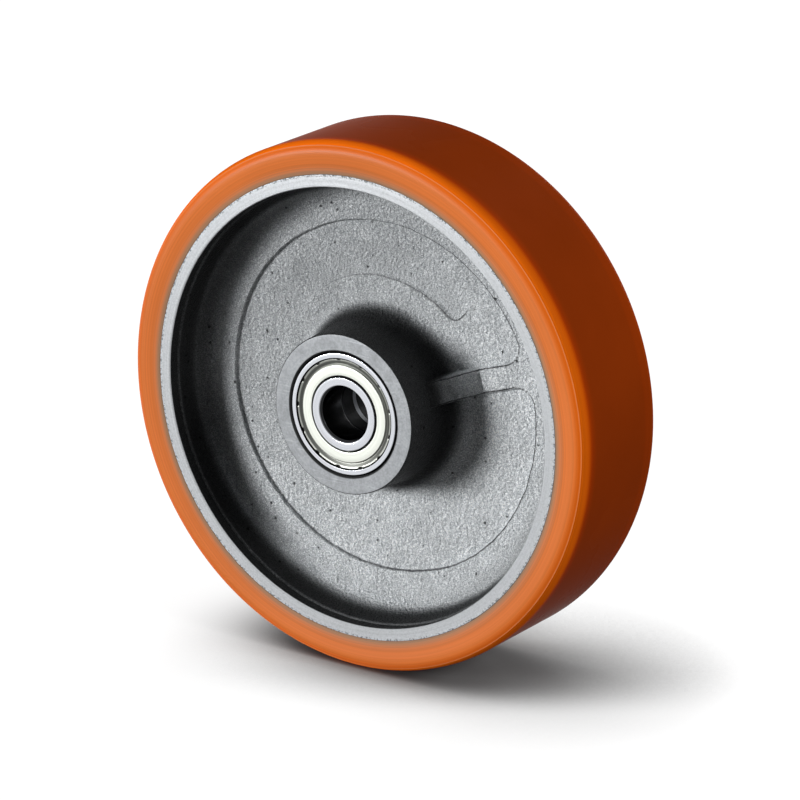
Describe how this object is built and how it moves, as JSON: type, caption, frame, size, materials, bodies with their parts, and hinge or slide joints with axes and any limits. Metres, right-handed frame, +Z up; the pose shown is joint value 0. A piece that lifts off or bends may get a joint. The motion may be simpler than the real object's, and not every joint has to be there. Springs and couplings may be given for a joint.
{
  "type": "polyurethane wheel",
  "caption": "Wheel with a cast polyurethane tyre on a dished cast-iron centre, turning on two shielded ball bearings with a plain axle bore.",
  "frame": {"origin": "centre of the wheel, on the axle's axis and in the tread's mid plane", "axes": "+Y along the axle, towards the back face; the front face with the rib looks along -Y; +Z up"},
  "size_m": [0.2, 0.06, 0.2],
  "materials": {
    "polyurethane": "glossy cast elastomer",
    "cast_iron": "as cast, with machined rim and hub faces",
    "race_steel": "ground bearing steel",
    "shield_steel": "pressed bright sheet",
    "ball_steel": "polished",
    "cage_steel": "pressed sheet",
    "spacer_steel": "turned tube"
  },
  "bodies": {
    "axle_side": {"spacer_tube": "spacer_steel", "front_inner_race": "race_steel", "back_inner_race": "race_steel"},
    "wheel": {"tyre": "polyurethane", "wheel_core": "cast_iron", "front_outer_race": "race_steel", "front_outboard_shield": "shield_steel", "front_inboard_shield": "shield_steel", "back_outer_race": "race_steel", "back_outboard_shield": "shield_steel", "back_inboard_shield": "shield_steel"},
    "front_ball_cage": {"front_balls": "ball_steel", "front_outboard_cage": "cage_steel", "front_inboard_cage": "cage_steel", "front_cage_rivets": "cage_steel"},
    "back_ball_cage": {"back_balls": "ball_steel", "back_outboard_cage": "cage_steel", "back_inboard_cage": "cage_steel", "back_cage_rivets": "cage_steel"}
  },
  "joints": [
    {"name": "wheel_spin", "type": "hinge", "parent": "axle_side", "child": "wheel", "pos_m": [0, 0, 0], "axis": [0, 1, 0], "continuous": true},
    {"name": "front_cage_spin", "type": "hinge", "parent": "axle_side", "child": "front_ball_cage", "pos_m": [0, -0.0228, 0], "axis": [0, 1, 0], "continuous": true},
    {"name": "back_cage_spin", "type": "hinge", "parent": "axle_side", "child": "back_ball_cage", "pos_m": [0, 0.0228, 0], "axis": [0, 1, 0], "continuous": true}
  ],
  "couplings": [
    {"joint": "front_cage_spin", "follows": "wheel_spin", "ratio": 0.61848},
    {"joint": "back_cage_spin", "follows": "wheel_spin", "ratio": 0.61848}
  ]
}
